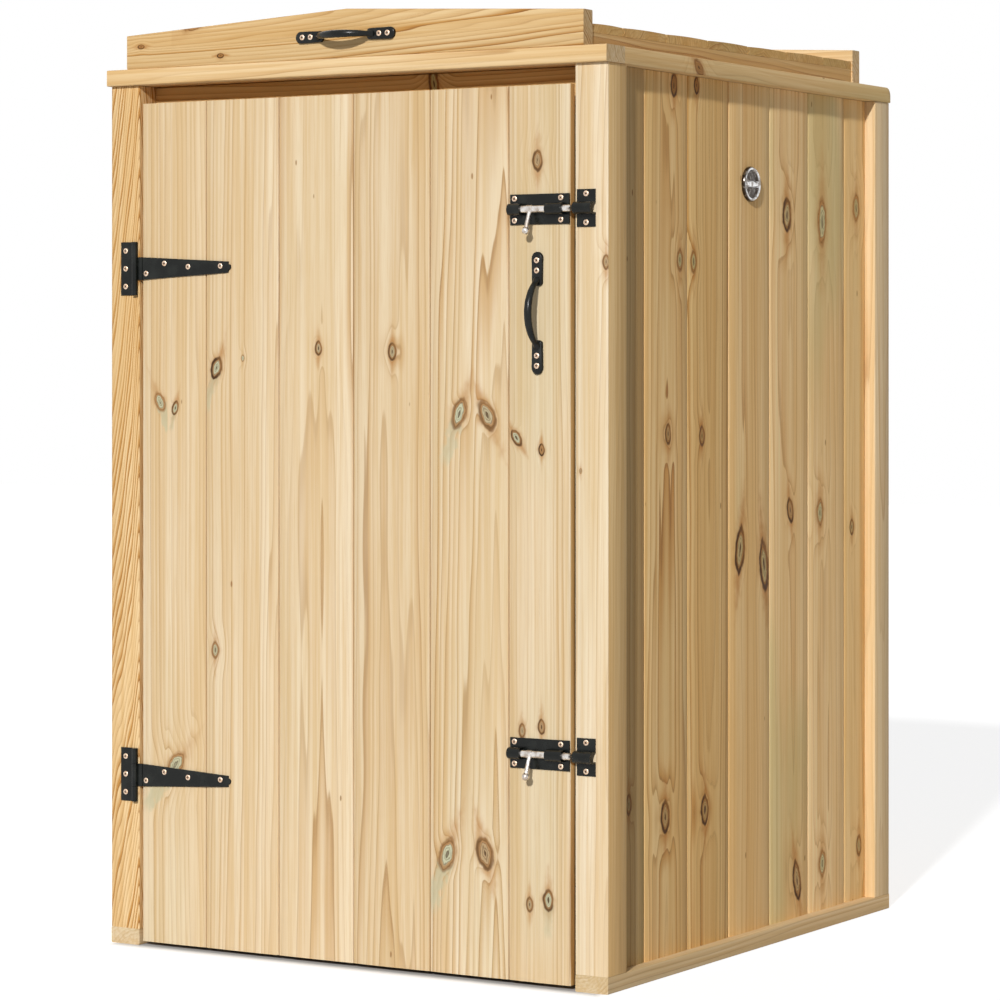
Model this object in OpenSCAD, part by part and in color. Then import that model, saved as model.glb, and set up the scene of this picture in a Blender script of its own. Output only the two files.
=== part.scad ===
// Timber store for one wheelie bin: a boarded box on a post frame, with a hung door and a lifting lid.
// X runs left to right, Y front to back, Z up. The ground is at Z = 0.

/* [Store] */
// Width over the corner posts
store_w = 788; // [640:1:960]
// Depth over the corner posts
store_d = 834; // [680:1:1000]
// Height from the ground to the top of the corner posts
post_top = 1180; // [960:1:1420]

/* [Frame] */
// Side of a square corner post
post_s = 48; // [40:1:60]
// Height of the flat bottom rails
sill_h = 22; // [18:1:30]
// How far the wall boards sit behind the outer faces of the posts
wall_inset = 15; // [10:1:20]
// Thickness of the boards
board_t = 12; // [10:0.5:16]
// Height of a nailing rail inside a wall
rail_h = 48; // [38:1:60]
// Height of the header over the doorway
header_h = 60; // [45:1:75]
// Clearance between the door's ledges and the header
header_clear = 6; // [5:0.5:10]
// Thickness of the header
header_t = 21; // [16:1:28]

/* [Door] */
// Gap at the hinge side of the door
hinge_gap = 5; // [5:0.5:8]
// Gap at the latch side of the door
latch_gap = 8; // [6:0.5:12]
// Gap below the door
door_foot = 6; // [5:0.5:30]
// How far the top of the door is below the top of the posts
door_drop = 25; // [10:1:50]
// Thickness of the ledges and braces behind the door boards
ledge_t = 20; // [16:0.5:20]
// Height of a ledge
ledge_h = 58; // [45:1:90]
// Distance from a door edge to the ends of the ledges
ledge_inset = 20; // [15:1:60]
// Width of a brace
brace_w = 58; // [40:1:80]

/* [Lid] */
// Width of the flat lid rails
lid_rail_w = 48; // [40:1:60]
// Thickness of the flat lid rails
lid_rail_t = 22; // [18:1:30]
// How far the lid reaches past the sides of the posts
lid_side_over = 2; // [0:0.5:20]
// How far the lid reaches past the front of the posts
lid_front_over = 8; // [0:0.5:25]
// Gap between the closed lid and the posts
lid_gap = 0.5; // [0.3:0.1:1]
// Thickness of the two gabled fascias
fascia_t = 23; // [18:1:28]
// Distance from the end of the lid to the end of a fascia
fascia_inset = 34; // [20:1:60]
// Height of a fascia at its ends
fascia_end_h = 46; // [40:1:60]
// Extra height of a fascia at the middle
fascia_rise = 19; // [8:1:40]
// How far the rear fascia sits ahead of the rear of the lid
fascia_rear_set = 34; // [20:1:80]
// Height of the kerbs under the eaves
kerb_h = 18; // [14:1:24]
// Width of the kerbs under the eaves
kerb_w = 22; // [18:1:40]
// How far the kerbs and eaves sit inside the ends of the fascias
kerb_inset = 2; // [0:0.5:15]
// How much higher the roof is at the rear than at the front
roof_lift = 7; // [0:0.5:15]
// Radius of the rounded rear end of a lid side rail
rail_end_r = 11; // [2:1:16]
// Width of the bearer under the ridge
bearer_w = 38; // [25:1:60]
// Depth of the bearer under the ridge
bearer_h = 30; // [20:1:40]

/* [Door hinges] */
// Depth of the upper hinge below the top of the posts
upper_hinge_drop = 251; // [170:1:320]
// Height of the lower hinge
lower_hinge_z = 234; // [150:1:400]
// Height of the flange on the post
flange_h = 73; // [60:1:90]
// Width of the flange on the post, to the pin
flange_w = 25; // [18:0.5:30]
// Length of the strap from the pin to its tip
strap_l = 160; // [120:1:220]
// Height of the strap at its root
strap_root_h = 31; // [24:1:40]
// Height of the strap at its tip
strap_tip_h = 15; // [10:1:20]
// Thickness of the hinge plates
hinge_t = 2; // [1.5:0.1:3]
// Distance from the inner edge of the post to the hinge pin
pin_set = 5; // [5:0.5:9]

/* [Lid hinges] */
// Distance between the centres of the two lid hinges
lid_hinge_span = 440; // [300:1:560]
// Width of a lid hinge
lid_hinge_w = 65; // [50:1:90]
// Height of the leaf on the carcass
lower_leaf_h = 30; // [22:1:40]

/* [Bolts] */
// Depth of the upper bolt below the top of the posts
upper_bolt_drop = 184; // [120:1:210]
// Height of the lower bolt
lower_bolt_z = 299; // [200:1:450]
// Diameter of a bolt bar
bar_d = 9.5; // [7.5:0.1:12]
// Length of a bolt plate
bolt_plate_l = 88; // [86:1:100]
// Height of a bolt plate
bolt_plate_h = 39; // [34:1:50]
// Length of the guide at the drawn end
guide_l = 18; // [12:1:20]
// Length of the slot that the knob moves in
slot_l = 38; // [32:0.5:40]
// Length of the barrel at the thrown end
barrel_l = 24; // [18:1:26]
// How far the bar stands out past the door edge when it is just clear of the keep
bar_out = 6; // [3:0.5:6]
// Width of a keep
keep_w = 27; // [22:1:32]
// Height of a keep
keep_h = 48; // [40:1:60]
// Distance from the inner edge of the post to the keep
keep_set = 3; // [2:0.5:10]

/* [Handles] */
// Overall length of a bow handle
handle_l = 157; // [130:1:190]
// Width of the feet of a handle
handle_foot_w = 16; // [14:0.5:22]
// Diameter of the grip
grip_d = 9; // [7:0.5:9]
// How far the centre of the grip stands off
handle_reach = 26; // [24:0.5:36]
// Depth of the middle of the door handle below the top of the posts
door_handle_drop = 317; // [290:1:450]
// Distance from the outer face of the latch post to the door handle
door_handle_set = 103; // [90:1:120]

/* [Disc] */
// Diameter of the bright disc on the right wall
disc_d = 48; // [36:1:70]
// Depth of the disc below the top of the posts
disc_drop = 136; // [80:1:300]
// Distance from the front of the store to the disc
disc_y = 418; // [200:1:600]

/* [Hidden] */
$fn = 48;

timber = "burlywood";
black_steel = "#1c1c1c";
bright_metal = "silver";

left = -1;
right = 1;
front = 0;
rear = 1;

// Half widths, measured from the middle of the store
half_w = store_w / 2;
bay_half_w = half_w - post_s;
rear_inner_y = store_d - post_s;

// Heights of the fittings that hang from the top
upper_hinge_z = post_top - upper_hinge_drop;
upper_bolt_z = post_top - upper_bolt_drop;
door_handle_z = post_top - door_handle_drop;
disc_z = post_top - disc_drop;

// Wall boards and the rails behind them, flush with the inner faces of the posts
wall_outer_x = half_w - wall_inset;
wall_inner_x = wall_outer_x - board_t;
rail_t = post_s - wall_inset - board_t;
rail_mid_z = (sill_h + post_top - rail_h) / 2;

// Door
door_left_x = -bay_half_w + hinge_gap;
door_right_x = bay_half_w - latch_gap;
door_top_z = post_top - door_drop;
low_ledge_up = 24;
top_ledge_down = 6;
low_ledge_z = door_foot + low_ledge_up;
top_ledge_z = door_top_z - top_ledge_down - ledge_h;
mid_ledge_z = (low_ledge_z + top_ledge_z) / 2;
brace_heel = 30;
header_set = board_t + ledge_t + header_clear;

// Lid
lid_half_w = half_w + lid_side_over;
lid_z = post_top + lid_gap;
lid_deck_z = lid_z + lid_rail_t;
fascia_half_w = lid_half_w - fascia_inset;
fascia_set = 1;
fascia_front_y = fascia_set - lid_front_over;
rear_fascia_end_h = fascia_end_h + roof_lift;
fascia_rear_y = store_d - fascia_rear_set - fascia_t;
eave_half_w = fascia_half_w - kerb_inset;
pitch = atan(fascia_rise / fascia_half_w);
roof_y = fascia_front_y + fascia_t;
roof_l = fascia_rear_y - roof_y;
eave_z = lid_deck_z + kerb_h;
ridge_rise = eave_half_w * tan(pitch);
board_drop = board_t / cos(pitch);
lift_angle = atan(roof_lift / roof_l);

// Knuckled hinges: pin, knuckle and running clearances
pin_r = 2.5;
knuckle_r = 4;
pin_clear = 0.05;
knuckle_clear = 0.3;
knuckle_gap = 0.5;
joggle = 0.8;
plate_clear = 1;
lap = 1.5;
strap_pin_x = -bay_half_w - pin_set;
strap_pin_y = -knuckle_r - knuckle_clear;
nib_r = 4;
lid_pin_y = store_d + knuckle_r + knuckle_gap;
lid_pin_z = post_top + lid_gap / 2;
lid_knuckle_l = 24;

// Bolts
bolt_plate_t = 1.5;
bar_r = bar_d / 2;
bar_clear = 0.08;
barrel_wall = 2.75;
barrel_r = bar_r + barrel_wall;
bar_y = -barrel_r;
bar_hold = 6;
bolt_plate_x = door_right_x - bolt_plate_l;
guide_x = bolt_plate_x + 2;
slot_x = guide_x + guide_l;
barrel_x = slot_x + slot_l;
bar_tip_x = door_right_x + bar_out;
bar_l = bar_tip_x - slot_x + bar_hold;
tip_chamfer = 1.5;
boss_l = 8;
boss_wall = 0.75;
boss_r = bar_r + boss_wall;
boss_throw = 20;
boss_clear = 0.5;
boss_x = barrel_x - boss_clear - boss_l - boss_throw;
knob_r = 3;
knob_l = 30;
knob_ball_r = 5;
knob_lean = 22;
keep_x = bay_half_w + keep_set;
keep_play = 1.05;
keep_wall = 2.2;
keep_bore_r = bar_r + keep_play;
keep_r = keep_bore_r + keep_wall;

// Bow handles: a round bow that springs from two flat feet
foot_t = 4;
foot_l = 40;
bow_half_chord = handle_l / 2 - 36;
bow_sink = 2.6;
bow_sag = handle_reach - bow_sink;
bow_r = (bow_half_chord * bow_half_chord + bow_sag * bow_sag) / (2 * bow_sag);
bow_angle = asin(bow_half_chord / bow_r);
lid_handle_up = 29.5;
lid_handle_z = lid_deck_z + lid_handle_up;
door_handle_x = half_w - door_handle_set;

// Disc: a raised rim, a dished middle and a bar across it
disc_t = 6;
disc_rim = 4;
disc_dish = 3.5;
disc_bar_h = 9;

// The origin is under the middle of everything, handles and hinges counted
front_reach = handle_reach + grip_d / 2 - fascia_front_y;
rear_reach = lid_pin_y + knuckle_r;
middle_y = (rear_reach - front_reach) / 2;

// Puts a piece drawn from the front face of the posts into the frame of the whole store
module placed() {
    translate([0, -middle_y, 0]) children();
}

// A block between two corners
module block(low, high) {
    translate(low) cube(high - low);
}

// Draws a piece on the side given, from a piece drawn on the right
module on_side(side) {
    if (side == left) mirror([1, 0, 0]) children();
    else children();
}

// ---- Frame and walls ----

module corner_post(side, end) {
    y = end == front ? 0 : rear_inner_y;
    color(timber) on_side(side) placed()
        block([bay_half_w, y, sill_h], [half_w, y + post_s, post_top]);
}

module side_bottom_rail(side) {
    color(timber) on_side(side) placed()
        block([bay_half_w, 0, 0], [half_w, store_d, sill_h]);
}

module rear_bottom_rail() {
    color(timber) placed()
        block([-bay_half_w, rear_inner_y, 0], [bay_half_w, store_d, sill_h]);
}

module side_wall_rails(side) {
    color(timber) on_side(side) placed()
        for (z = [sill_h, rail_mid_z, post_top - rail_h])
            block([bay_half_w, post_s, z], [wall_inner_x, rear_inner_y, z + rail_h]);
}

module rear_wall_rails() {
    color(timber) placed()
        for (z = [sill_h, rail_mid_z])
            block([-bay_half_w, rear_inner_y, z], [bay_half_w, rear_inner_y + rail_t, z + rail_h]);
}

module rear_top_rail() {
    color(timber) placed()
        block([-bay_half_w, rear_inner_y, post_top - post_s], [bay_half_w, store_d, post_top]);
}

module front_header() {
    color(timber) placed()
        block([-bay_half_w, header_set, post_top - header_h],
              [bay_half_w, header_set + header_t, post_top]);
}

module side_wall(side) {
    color(timber) on_side(side) placed()
        block([wall_inner_x, post_s, sill_h], [wall_outer_x, rear_inner_y, post_top]);
}

module rear_wall() {
    color(timber) placed()
        block([-bay_half_w, rear_inner_y + rail_t, sill_h],
              [bay_half_w, rear_inner_y + rail_t + board_t, post_top - post_s]);
}

// ---- Door ----

module door_boards() {
    color(timber) placed()
        block([door_left_x, 0, door_foot], [door_right_x, board_t, door_top_z]);
}

module door_ledge(z) {
    color(timber) placed()
        block([door_left_x + ledge_inset, board_t, z],
              [door_right_x - ledge_inset, board_t + ledge_t, z + ledge_h]);
}

// One brace, from its heel at the hinge side up towards the latch side, between two ledges
module brace(low_z, high_z) {
    foot_x = door_left_x + ledge_inset + brace_heel;
    head_x = door_right_x - ledge_inset - brace_heel - brace_w;
    translate([0, board_t + ledge_t, 0]) rotate([90, 0, 0]) linear_extrude(ledge_t)
        polygon([[foot_x, low_z], [foot_x + brace_w, low_z],
                 [head_x + brace_w, high_z], [head_x, high_z]]);
}

module door_braces() {
    color(timber) placed() {
        brace(low_ledge_z + ledge_h, mid_ledge_z);
        brace(mid_ledge_z + ledge_h, top_ledge_z);
    }
}

// ---- Door hinges ----

// The part of a knuckle column between two heights, about the pin
module column(z_low, z_high, r) {
    translate([strap_pin_x, strap_pin_y, z_low]) cylinder(h = z_high - z_low, r = r);
}

module hinge_flange(z) {
    color(black_steel) placed() translate([0, 0, z]) {
        block([strap_pin_x - flange_w, -hinge_t, -flange_h / 2],
              [strap_pin_x - knuckle_r - plate_clear, 0, flange_h / 2]);
        for (side = [-1, 1]) mirror([0, 0, side < 0 ? 1 : 0]) {
            column(strap_root_h / 2 + knuckle_gap, flange_h / 2, knuckle_r);
            block([strap_pin_x - knuckle_r - plate_clear - lap, -hinge_t, strap_root_h / 2 + knuckle_gap],
                  [strap_pin_x, -knuckle_clear, flange_h / 2]);
        }
        column(-flange_h / 2, flange_h / 2, pin_r);
    }
}

module hinge_strap(z) {
    root_x = door_left_x;
    tip_x = strap_pin_x + strap_l - nib_r;
    color(black_steel) placed() translate([0, 0, z]) difference() {
        union() {
            column(-strap_root_h / 2, strap_root_h / 2, knuckle_r);
            block([strap_pin_x, -hinge_t - joggle, -strap_root_h / 2],
                  [root_x + lap, -joggle, strap_root_h / 2]);
            rotate([90, 0, 0]) linear_extrude(hinge_t)
                polygon([[root_x, -strap_root_h / 2], [tip_x, -strap_tip_h / 2],
                         [tip_x, strap_tip_h / 2], [root_x, strap_root_h / 2]]);
            translate([tip_x, 0, 0]) rotate([90, 0, 0]) cylinder(h = hinge_t, r = nib_r);
        }
        column(-flange_h, flange_h, pin_r + pin_clear);
    }
}

// ---- Lid hinges ----

// A round bar along X about the lid's pin, between two distances from a hinge's middle
module lid_column(x_low, x_high, r) {
    translate([x_low, lid_pin_y, lid_pin_z]) rotate([0, 90, 0]) cylinder(h = x_high - x_low, r = r);
}

module each_lid_hinge() {
    for (x = [-lid_hinge_span / 2, lid_hinge_span / 2]) translate([x, 0, 0]) children();
}

module lid_hinge_lower_leaves() {
    color(black_steel) placed() each_lid_hinge() {
        block([-lid_hinge_w / 2, store_d, lid_pin_z - lower_leaf_h],
              [lid_hinge_w / 2, store_d + hinge_t, lid_pin_z - knuckle_r - plate_clear]);
        for (side = [-1, 1]) mirror([side < 0 ? 1 : 0, 0, 0]) {
            lid_column(lid_knuckle_l / 2 + knuckle_gap, lid_hinge_w / 2, knuckle_r);
            block([lid_knuckle_l / 2 + knuckle_gap, store_d, lid_pin_z - knuckle_r - plate_clear - lap],
                  [lid_hinge_w / 2, store_d + hinge_t, lid_pin_z]);
        }
        lid_column(-lid_hinge_w / 2, lid_hinge_w / 2, pin_r);
    }
}

module lid_hinge_upper_leaves() {
    color(black_steel) placed() each_lid_hinge() difference() {
        union() {
            block([-lid_hinge_w / 2, store_d, lid_pin_z + knuckle_r + plate_clear],
                  [lid_hinge_w / 2, store_d + hinge_t, lid_deck_z - plate_clear]);
            lid_column(-lid_knuckle_l / 2, lid_knuckle_l / 2, knuckle_r);
            block([-lid_knuckle_l / 2, store_d, lid_pin_z],
                  [lid_knuckle_l / 2, store_d + hinge_t, lid_pin_z + knuckle_r + plate_clear + lap]);
        }
        lid_column(-lid_hinge_w, lid_hinge_w, pin_r + pin_clear);
    }
}

// ---- Bolts ----

// A round bar along X on a bolt's axis
module bolt_round(x, l, r) {
    translate([x, bar_y, 0]) rotate([0, 90, 0]) cylinder(h = l, r = r);
}

// A tube that stands on the plate, as pressed from it
module guide(x, l) {
    bolt_round(x, l, barrel_r);
    block([x, bar_y, -barrel_r], [x + l, -bolt_plate_t / 2, barrel_r]);
}

module bolt_barrel(z) {
    color(black_steel) placed() translate([0, 0, z]) difference() {
        union() {
            block([bolt_plate_x, -bolt_plate_t, -bolt_plate_h / 2],
                  [door_right_x, 0, bolt_plate_h / 2]);
            guide(guide_x, guide_l);
            guide(barrel_x, barrel_l);
        }
        bolt_round(bolt_plate_x - boss_l, bolt_plate_l + 2 * boss_l, bar_r + bar_clear);
    }
}

module bolt_bar(z) {
    color(bright_metal) placed() translate([0, 0, z]) {
        bolt_round(bar_tip_x - bar_l, bar_l - tip_chamfer, bar_r);
        translate([bar_tip_x - tip_chamfer, bar_y, 0]) rotate([0, 90, 0])
            cylinder(h = tip_chamfer, r1 = bar_r, r2 = bar_r - tip_chamfer);
        bolt_round(boss_x, boss_l, boss_r);
        translate([boss_x + boss_l / 2, bar_y, 0]) rotate([180 - knob_lean, 0, 0]) {
            cylinder(h = knob_l, r = knob_r);
            translate([0, 0, knob_l]) sphere(r = knob_ball_r);
        }
    }
}

module bolt_keep(z) {
    color(black_steel) placed() translate([0, 0, z]) difference() {
        union() {
            block([keep_x, -bolt_plate_t, -keep_h / 2], [keep_x + keep_w, 0, keep_h / 2]);
            bolt_round(keep_x, keep_w, keep_r);
            block([keep_x, bar_y, -keep_r], [keep_x + keep_w, 0, keep_r]);
        }
        bolt_round(keep_x - 1, keep_w + 2, keep_bore_r);
        block([keep_x - 1, bar_y, -keep_bore_r], [keep_x + keep_w + 1, 1, keep_bore_r]);
    }
}

// ---- Handles and disc ----

// A bow handle along X, screwed to the plane Y = 0
module bow_handle() {
    for (side = [-1, 1]) mirror([side < 0 ? 1 : 0, 0, 0]) {
        block([handle_l / 2 - foot_l, -foot_t, -handle_foot_w / 2],
              [handle_l / 2 - handle_foot_w / 2, 0, handle_foot_w / 2]);
        translate([handle_l / 2 - handle_foot_w / 2, 0, 0]) rotate([90, 0, 0])
            cylinder(h = foot_t, r = handle_foot_w / 2);
    }
    translate([0, bow_r - handle_reach, 0]) rotate([0, 0, -90 - bow_angle])
        rotate_extrude(angle = 2 * bow_angle) translate([bow_r, 0]) circle(d = grip_d);
}

module door_handle() {
    color(black_steel) placed() translate([door_handle_x, 0, door_handle_z])
        rotate([0, 90, 0]) bow_handle();
}

module lid_handle() {
    color(black_steel) placed() translate([0, fascia_front_y, lid_handle_z]) bow_handle();
}

module side_disc() {
    color(bright_metal) placed() translate([wall_outer_x, disc_y, disc_z]) rotate([0, 90, 0]) {
        difference() {
            cylinder(h = disc_t, d = disc_d);
            translate([0, 0, disc_t - disc_dish]) cylinder(h = disc_t, d = disc_d - 2 * disc_rim);
        }
        intersection() {
            cylinder(h = disc_t - 1, d = disc_d - disc_rim);
            translate([-disc_d / 2, -disc_bar_h / 2, 0]) cube([disc_d, disc_bar_h, disc_t]);
        }
    }
}

// ---- Lid ----

module lid_front_rail() {
    color(timber) placed()
        block([-lid_half_w, -lid_front_over, lid_z],
              [lid_half_w, lid_rail_w - lid_front_over, lid_deck_z]);
}

module lid_rear_rail() {
    half_l = lid_half_w - lid_rail_w;
    color(timber) placed()
        block([-half_l, store_d - lid_rail_w, lid_z], [half_l, store_d, lid_deck_z]);
}

// A side rail butts the front rail and runs to the rear, where its upper corner is rounded
module lid_side_rail(side) {
    inner_x = lid_half_w - lid_rail_w;
    round_y = store_d - rail_end_r;
    round_z = lid_deck_z - rail_end_r;
    color(timber) on_side(side) placed() {
        block([inner_x, lid_rail_w - lid_front_over, lid_z], [lid_half_w, round_y, lid_deck_z]);
        block([inner_x, round_y, lid_z], [lid_half_w, store_d, round_z]);
        intersection() {
            translate([inner_x, round_y, round_z]) rotate([0, 90, 0])
                cylinder(h = lid_rail_w, r = rail_end_r);
            block([inner_x, round_y, round_z], [lid_half_w, store_d, lid_deck_z]);
        }
    }
}

module lid_fascia(y, end_h) {
    color(timber) placed() translate([0, y + fascia_t, lid_deck_z]) rotate([90, 0, 0])
        linear_extrude(fascia_t)
            polygon([[-fascia_half_w, 0], [fascia_half_w, 0], [fascia_half_w, end_h],
                     [0, end_h + fascia_rise], [-fascia_half_w, end_h]]);
}

// Runs an outline in X and Z, drawn about the eaves, from fascia to fascia along the rising roof
module along_roof() {
    intersection() {
        block([-half_w, roof_y, lid_deck_z], [half_w, roof_y + roof_l, lid_deck_z + store_d]);
        translate([0, roof_y, eave_z]) rotate([90 + lift_angle, 0, 0])
            translate([0, 0, -2 * roof_l]) linear_extrude(3 * roof_l) children();
    }
}

module lid_kerbs() {
    low = -kerb_h - roof_lift;
    color(timber) placed() for (side = [left, right]) on_side(side) along_roof()
        polygon([[eave_half_w - kerb_w, low], [eave_half_w, low], [eave_half_w, 0],
                 [eave_half_w - kerb_w, kerb_w * tan(pitch)]]);
}

module lid_roof(side) {
    color(timber) on_side(side) placed() along_roof()
        polygon([[0, ridge_rise], [eave_half_w, 0], [eave_half_w, board_drop],
                 [0, ridge_rise + board_drop]]);
}

module lid_ridge_bearer() {
    shoulder = ridge_rise - bearer_w / 2 * tan(pitch);
    color(timber) placed() along_roof()
        polygon([[-bearer_w / 2, ridge_rise - bearer_h], [bearer_w / 2, ridge_rise - bearer_h],
                 [bearer_w / 2, shoulder], [0, ridge_rise], [-bearer_w / 2, shoulder]]);
}

corner_post(left, front);  // left_front_post
corner_post(right, front);  // right_front_post
corner_post(left, rear);  // left_rear_post
corner_post(right, rear);  // right_rear_post
side_bottom_rail(left);  // left_bottom_rail
side_bottom_rail(right);  // right_bottom_rail
rear_bottom_rail();
side_wall_rails(left);  // left_wall_rails
side_wall_rails(right);  // right_wall_rails
rear_wall_rails();
rear_top_rail();
front_header();
side_wall(left);  // left_wall
side_wall(right);  // right_wall
rear_wall();
hinge_flange(upper_hinge_z);  // upper_hinge_flange
hinge_flange(lower_hinge_z);  // lower_hinge_flange
bolt_keep(upper_bolt_z);  // upper_bolt_keep
bolt_keep(lower_bolt_z);  // lower_bolt_keep
side_disc();
lid_hinge_lower_leaves();
door_boards();
door_ledge(top_ledge_z);  // door_top_ledge
door_ledge(mid_ledge_z);  // door_middle_ledge
door_ledge(low_ledge_z);  // door_bottom_ledge
door_braces();
hinge_strap(upper_hinge_z);  // upper_hinge_strap
hinge_strap(lower_hinge_z);  // lower_hinge_strap
bolt_barrel(upper_bolt_z);  // upper_bolt_barrel
bolt_barrel(lower_bolt_z);  // lower_bolt_barrel
door_handle();
bolt_bar(upper_bolt_z);  // upper_bolt_bar
bolt_bar(lower_bolt_z);  // lower_bolt_bar
lid_front_rail();
lid_rear_rail();
lid_side_rail(left);  // lid_left_rail
lid_side_rail(right);  // lid_right_rail
lid_fascia(fascia_front_y, fascia_end_h);  // lid_front_fascia
lid_fascia(fascia_rear_y, rear_fascia_end_h);  // lid_rear_fascia
lid_kerbs();
lid_roof(left);  // lid_left_roof
lid_roof(right);  // lid_right_roof
lid_ridge_bearer();
lid_handle();
lid_hinge_upper_leaves();
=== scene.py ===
import math
import random

import bmesh
import bpy
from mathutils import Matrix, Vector


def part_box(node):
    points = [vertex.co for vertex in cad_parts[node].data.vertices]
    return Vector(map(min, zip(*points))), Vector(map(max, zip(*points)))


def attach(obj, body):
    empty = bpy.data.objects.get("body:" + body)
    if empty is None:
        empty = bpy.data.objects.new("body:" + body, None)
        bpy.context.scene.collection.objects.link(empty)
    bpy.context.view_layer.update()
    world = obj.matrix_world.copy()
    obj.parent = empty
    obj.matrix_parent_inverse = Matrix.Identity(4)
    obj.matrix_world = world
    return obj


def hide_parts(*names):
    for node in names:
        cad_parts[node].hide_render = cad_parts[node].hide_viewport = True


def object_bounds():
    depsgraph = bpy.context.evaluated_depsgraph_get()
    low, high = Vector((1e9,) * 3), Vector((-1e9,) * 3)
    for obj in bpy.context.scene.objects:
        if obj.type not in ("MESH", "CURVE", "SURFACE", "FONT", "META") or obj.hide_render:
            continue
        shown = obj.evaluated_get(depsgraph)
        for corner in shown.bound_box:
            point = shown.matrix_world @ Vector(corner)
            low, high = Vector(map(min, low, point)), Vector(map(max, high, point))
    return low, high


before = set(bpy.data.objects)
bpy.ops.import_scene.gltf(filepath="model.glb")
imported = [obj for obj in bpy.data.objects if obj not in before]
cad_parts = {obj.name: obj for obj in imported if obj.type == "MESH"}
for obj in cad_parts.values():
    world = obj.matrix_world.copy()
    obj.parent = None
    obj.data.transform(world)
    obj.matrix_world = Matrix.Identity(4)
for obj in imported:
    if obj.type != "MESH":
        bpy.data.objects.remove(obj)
cad_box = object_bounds()
mm = 0.001

# ---- The view ----
# A level camera with a long lens, to the right of the front, at two thirds of the store's height.
# It is dropped by a shift, so that upright edges stay upright.
stand_off = 5.009
bearing = math.radians(31.23)
heading = math.radians(31.34)
eye_height = 0.797
view = bpy.data.cameras.new("view")
view.sensor_width = 36
view.lens = 127
view.shift_y = -0.1353
camera = bpy.data.objects.new("view", view)
camera.location = (stand_off * math.sin(bearing), -stand_off * math.cos(bearing), eye_height)
camera.rotation_euler = (math.radians(90), 0, heading)
bpy.context.scene.collection.objects.link(camera)
bpy.context.scene.camera = camera


# ---- Corner posts ----
# Four square posts of sawn and planed softwood, pressure treated, with the arrises taken off.
# They stand on the side bottom rails and are screwed up through them from below.


class Wire:
    """An output socket of a node tree. A sum on it adds the Math node for that sum."""

    def __init__(self, tree, socket=None):
        self.tree = tree
        self.socket = socket

    def node(self, kind, settings=None, sockets=None, out=0):
        """Adds a node: its type, its settings, then the values or wires of its sockets."""
        made = self.tree.nodes.new("ShaderNode" + kind)
        for name, value in (settings or {}).items():
            setattr(made, name, value)
        for key, value in (sockets or {}).items():
            if isinstance(value, Wire):
                self.tree.links.new(value.socket, made.inputs[key])
            else:
                made.inputs[key].default_value = value
        return Wire(self.tree, made.outputs[out]) if made.outputs else made

    def maths(self, operation, *values):
        return self.node("Math", {"operation": operation}, dict(enumerate(values)))

    def __add__(self, other):
        return self.maths("ADD", self, other)

    def __sub__(self, other):
        return self.maths("SUBTRACT", self, other)

    def __rsub__(self, other):
        return self.maths("SUBTRACT", other, self)

    def __mul__(self, other):
        return self.maths("MULTIPLY", self, other)

    def __truediv__(self, other):
        return self.maths("DIVIDE", self, other)

    def __abs__(self):
        return self.maths("ABSOLUTE", self)

    __radd__ = __add__
    __rmul__ = __mul__

    def root(self):
        return self.maths("SQRT", self)

    def above(self, floor):
        return self.maths("MAXIMUM", self, floor)

    def below(self, ceiling):
        return self.maths("MINIMUM", self, ceiling)

    def wave(self):
        return self.maths("SINE", self)

    def step(self, low, high):
        """A smooth step from 0 at low to 1 at high, or from 1 to 0 if low is the larger."""
        return self.node("MapRange", {"interpolation_type": "SMOOTHSTEP"},
                         {"Value": self, "From Min": low, "From Max": high})

    def xyz(self):
        parts = self.node("SeparateXYZ", None, {0: self}).socket.node.outputs
        return [Wire(self.tree, part) for part in parts]

    def stretched(self, factors):
        return self.node("VectorMath", {"operation": "MULTIPLY"}, {0: self, 1: factors})

    def noise(self, factors, detail=2.0, out="Fac"):
        return self.node("TexNoise", None, {"Vector": self.stretched(factors), "Scale": 1.0,
                                            "Detail": detail}, out)

    def over(self, coat, share, mode="MIX"):
        """This colour with another laid over it, as much as share says."""
        return self.node("Mix", {"data_type": "RGBA", "blend_type": mode},
                         {0: share, 6: self, 7: coat}, 2)


def new_material(name):
    made = bpy.data.materials.new(name)
    made.use_nodes = True
    made.node_tree.nodes.clear()
    return made, Wire(made.node_tree)


def surface(start, **sockets):
    """Ends a material in one Principled shader."""
    values = {name.replace("_", " "): value for name, value in sockets.items()}
    shader = start.node("BsdfPrincipled", None, values)
    start.node("OutputMaterial", None, {"Surface": shader})


def colour(red, green, blue):
    return (red, green, blue, 1.0)


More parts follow.
